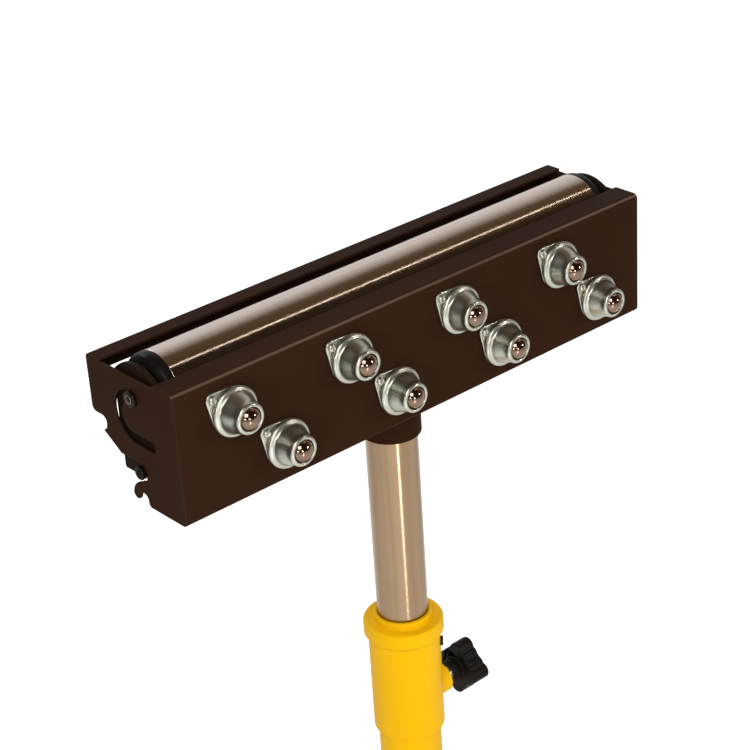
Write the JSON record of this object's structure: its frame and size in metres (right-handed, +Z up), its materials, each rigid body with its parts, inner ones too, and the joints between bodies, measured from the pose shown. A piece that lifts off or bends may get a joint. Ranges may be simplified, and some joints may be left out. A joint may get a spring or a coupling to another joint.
{
  "type": "roller stand",
  "caption": "Free-standing work support on four folding legs: a telescoping post carries a head that offers a long roller, or flips to offer a plate of ball transfers.",
  "frame": {"origin": "on the floor, on the axis of the post", "axes": "+Z up along the post, +X along the roller, -Y out of the ball plate"},
  "size_m": [0.465, 0.465, 0.8305],
  "materials": {
    "yellow_enamel": "gloss",
    "black_plastic": "satin",
    "foot_rubber": "matte",
    "white_nylon": "satin",
    "zinc_fasteners": "zinc plated",
    "dark_fasteners": "black oxide",
    "pad_brass": "turned",
    "post_steel": "satin",
    "roller_steel": "satin",
    "axle_steel": "turned",
    "bearing_steel": "ground",
    "head_enamel": "satin",
    "zinc_housings": "zinc plated",
    "ball_chrome": "polished"
  },
  "bodies": {
    "base": {"base_tube": "yellow_enamel", "tube_plug": "black_plastic", "clamp_collar": "yellow_enamel", "guide_bush": "white_nylon", "collar_screws": "dark_fasteners", "leg_hub": "yellow_enamel", "leg_brackets": "yellow_enamel", "leg_bolts": "zinc_fasteners", "leg_nuts": "zinc_fasteners"},
    "leg_1": {"leg_tube_1": "yellow_enamel", "leg_foot_1": "foot_rubber"},
    "leg_2": {"leg_tube_2": "yellow_enamel", "leg_foot_2": "foot_rubber"},
    "leg_3": {"leg_tube_3": "yellow_enamel", "leg_foot_3": "foot_rubber"},
    "leg_4": {"leg_tube_4": "yellow_enamel", "leg_foot_4": "foot_rubber"},
    "pad": {"clamp_pad": "pad_brass"},
    "knob": {"clamp_stud": "zinc_fasteners", "clamp_knob": "black_plastic"},
    "glide": {"post_glide": "white_nylon"},
    "post": {"post_tube": "post_steel", "head_socket": "head_enamel", "socket_screw": "dark_fasteners", "cradle": "head_enamel", "roller_axle": "axle_steel", "axle_spacers": "axle_steel", "axle_nuts": "dark_fasteners", "bearing_inner_rings": "bearing_steel", "stop_bolts": "dark_fasteners", "stop_sleeves": "dark_fasteners", "stop_nuts": "dark_fasteners"},
    "roller": {"roller_tube": "roller_steel", "roller_cap_left": "black_plastic", "roller_cap_right": "black_plastic", "bearing_outer_rings": "bearing_steel", "bearing_beads": "bearing_steel"},
    "bushes": {"slot_bushes": "white_nylon"},
    "shell": {"front_plate": "head_enamel", "rear_rail": "head_enamel", "left_end_plate": "head_enamel", "right_end_plate": "head_enamel", "housing_screws": "zinc_fasteners", "housing_nuts": "zinc_fasteners", "ball_housing_1": "zinc_housings", "ball_housing_2": "zinc_housings", "ball_housing_3": "zinc_housings", "ball_housing_4": "zinc_housings", "ball_housing_5": "zinc_housings", "ball_housing_6": "zinc_housings", "ball_housing_7": "zinc_housings", "ball_housing_8": "zinc_housings"},
    "ball_body_1": {"ball_1": "ball_chrome"},
    "ball_body_2": {"ball_2": "ball_chrome"},
    "ball_body_3": {"ball_3": "ball_chrome"},
    "ball_body_4": {"ball_4": "ball_chrome"},
    "ball_body_5": {"ball_5": "ball_chrome"},
    "ball_body_6": {"ball_6": "ball_chrome"},
    "ball_body_7": {"ball_7": "ball_chrome"},
    "ball_body_8": {"ball_8": "ball_chrome"}
  },
  "joints": [
    {"name": "leg_fold_1", "type": "hinge", "parent": "base", "child": "leg_1", "pos_m": [0.03394, 0.03394, 0.262], "axis": [-0.7071, 0.7071, 0], "range_deg": [0, 44]},
    {"name": "leg_fold_2", "type": "hinge", "parent": "base", "child": "leg_2", "pos_m": [-0.03394, 0.03394, 0.262], "axis": [-0.7071, -0.7071, 0], "range_deg": [0, 44]},
    {"name": "leg_fold_3", "type": "hinge", "parent": "base", "child": "leg_3", "pos_m": [-0.03394, -0.03394, 0.262], "axis": [0.7071, -0.7071, 0], "range_deg": [0, 44]},
    {"name": "leg_fold_4", "type": "hinge", "parent": "base", "child": "leg_4", "pos_m": [0.03394, -0.03394, 0.262], "axis": [0.7071, 0.7071, 0], "range_deg": [0, 44]},
    {"name": "clamp_travel", "type": "slide", "parent": "base", "child": "pad", "axis": [1, 0, 0], "range_m": [0, 0.003]},
    {"name": "knob_turn", "type": "hinge", "parent": "pad", "child": "knob", "pos_m": [0, 0, 0.484], "axis": [1, 0, 0], "range_deg": [0, 720]},
    {"name": "post_slide", "type": "slide", "parent": "base", "child": "glide", "axis": [0, 0, 1], "range_m": [-0.14, 0.23]},
    {"name": "post_swivel", "type": "hinge", "parent": "glide", "child": "post", "pos_m": [0, 0, 0.56], "axis": [0, 0, 1], "continuous": true},
    {"name": "roller_spin", "type": "hinge", "parent": "post", "child": "roller", "pos_m": [0, 0, 0.8065], "axis": [1, 0, 0], "continuous": true},
    {"name": "bush_turn", "type": "hinge", "parent": "post", "child": "bushes", "pos_m": [0, 0, 0.8065], "axis": [1, 0, 0], "range_deg": [-280, 0]},
    {"name": "shell_flip", "type": "hinge", "parent": "bushes", "child": "shell", "pos_m": [0, 0.00239, 0.79235], "axis": [1, 0, 0], "range_deg": [0, 189.58]},
    {"name": "ball_spin_1", "type": "hinge", "parent": "shell", "child": "ball_body_1", "pos_m": [-0.1586, -0.05657, 0.7974], "axis": [1, 0, 0], "continuous": true},
    {"name": "ball_spin_2", "type": "hinge", "parent": "shell", "child": "ball_body_2", "pos_m": [-0.1214, -0.05657, 0.7602], "axis": [1, 0, 0], "continuous": true},
    {"name": "ball_spin_3", "type": "hinge", "parent": "shell", "child": "ball_body_3", "pos_m": [-0.0661, -0.05657, 0.7974], "axis": [1, 0, 0], "continuous": true},
    {"name": "ball_spin_4", "type": "hinge", "parent": "shell", "child": "ball_body_4", "pos_m": [-0.0289, -0.05657, 0.7602], "axis": [1, 0, 0], "continuous": true},
    {"name": "ball_spin_5", "type": "hinge", "parent": "shell", "child": "ball_body_5", "pos_m": [0.0264, -0.05657, 0.7974], "axis": [1, 0, 0], "continuous": true},
    {"name": "ball_spin_6", "type": "hinge", "parent": "shell", "child": "ball_body_6", "pos_m": [0.0636, -0.05657, 0.7602], "axis": [1, 0, 0], "continuous": true},
    {"name": "ball_spin_7", "type": "hinge", "parent": "shell", "child": "ball_body_7", "pos_m": [0.1189, -0.05657, 0.7974], "axis": [1, 0, 0], "continuous": true},
    {"name": "ball_spin_8", "type": "hinge", "parent": "shell", "child": "ball_body_8", "pos_m": [0.1561, -0.05657, 0.7602], "axis": [1, 0, 0], "continuous": true}
  ],
  "couplings": [
    {"joint": "bush_turn", "follows": "shell_flip", "ratio": -1.4747},
    {"joint": "clamp_travel", "follows": "knob_turn", "m_per_rad": 0.00023873}
  ]
}
